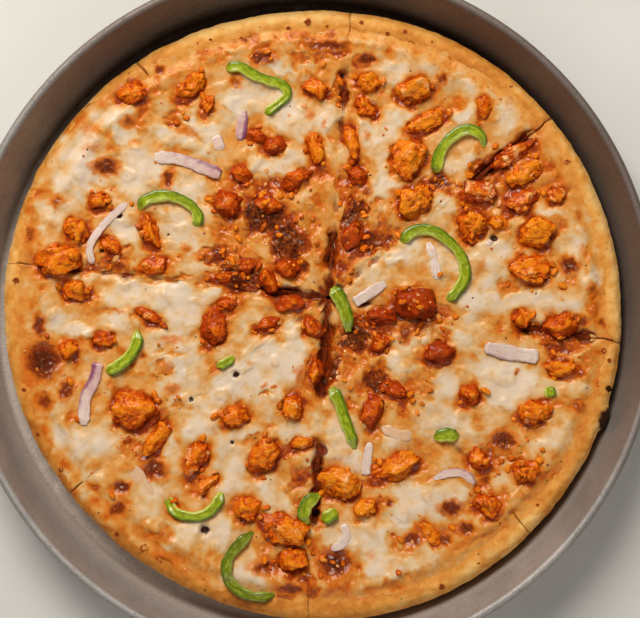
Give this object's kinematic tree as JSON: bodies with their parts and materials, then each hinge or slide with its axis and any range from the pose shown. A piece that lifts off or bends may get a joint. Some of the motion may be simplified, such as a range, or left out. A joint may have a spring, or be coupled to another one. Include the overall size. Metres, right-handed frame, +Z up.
{
  "type": "deep dish pizza",
  "caption": "Round deep dish pan pizza cut into slices, with melted cheese, chicken, green pepper and red onion, in its metal pan",
  "frame": {"origin": "Middle of the pan's flat underside, on the surface that it stands on", "axes": "+Z up, +Y towards the top of the picture, +X towards its right"},
  "size_m": [0.3546, 0.3546, 0.0379],
  "materials": {
    "pan_metal": "dull grey, scratched and stained",
    "dough": "baked dough, golden brown, dry and matt",
    "cheese": "melted cheese, pale cream with orange and brown baked spots, oily",
    "chicken": "spiced roast meat, bright orange, rough and a little oily",
    "pepper": "green pepper, glossy skin and paler flesh",
    "onion": "softened red onion, pale and translucent with a purple edge"
  },
  "bodies": {
    "root": {"pan": "pan_metal", "crust_1": "dough", "crust_2": "dough", "crust_3": "dough", "crust_4": "dough", "crust_5": "dough", "crust_6": "dough", "crust_7": "dough", "crust_8": "dough", "cheese_1": "cheese", "cheese_2": "cheese", "cheese_3": "cheese", "cheese_4": "cheese", "cheese_5": "cheese", "cheese_6": "cheese", "cheese_7": "cheese", "cheese_8": "cheese", "pepper_01": "pepper", "pepper_02": "pepper", "pepper_03": "pepper", "pepper_04": "pepper", "pepper_05": "pepper", "pepper_06": "pepper", "pepper_07": "pepper", "pepper_08": "pepper", "pepper_09": "pepper", "pepper_10": "pepper", "pepper_11": "pepper", "pepper_12": "pepper", "pepper_13": "pepper", "pepper_14": "pepper", "onion_01": "onion", "onion_02": "onion", "onion_03": "onion", "onion_04": "onion", "onion_05": "onion", "onion_06": "onion", "onion_07": "onion", "onion_08": "onion", "onion_09": "onion", "onion_10": "onion", "chicken_01": "chicken", "chicken_02": "chicken", "chicken_03": "chicken", "chicken_04": "chicken", "chicken_05": "chicken", "chicken_06": "chicken", "chicken_07": "chicken", "chicken_08": "chicken", "chicken_09": "chicken", "chicken_10": "chicken", "chicken_11": "chicken", "chicken_12": "chicken", "chicken_13": "chicken", "chicken_14": "chicken", "chicken_15": "chicken", "chicken_16": "chicken", "chicken_17": "chicken", "chicken_18": "chicken", "chicken_19": "chicken"}
  },
  "joints": []
}
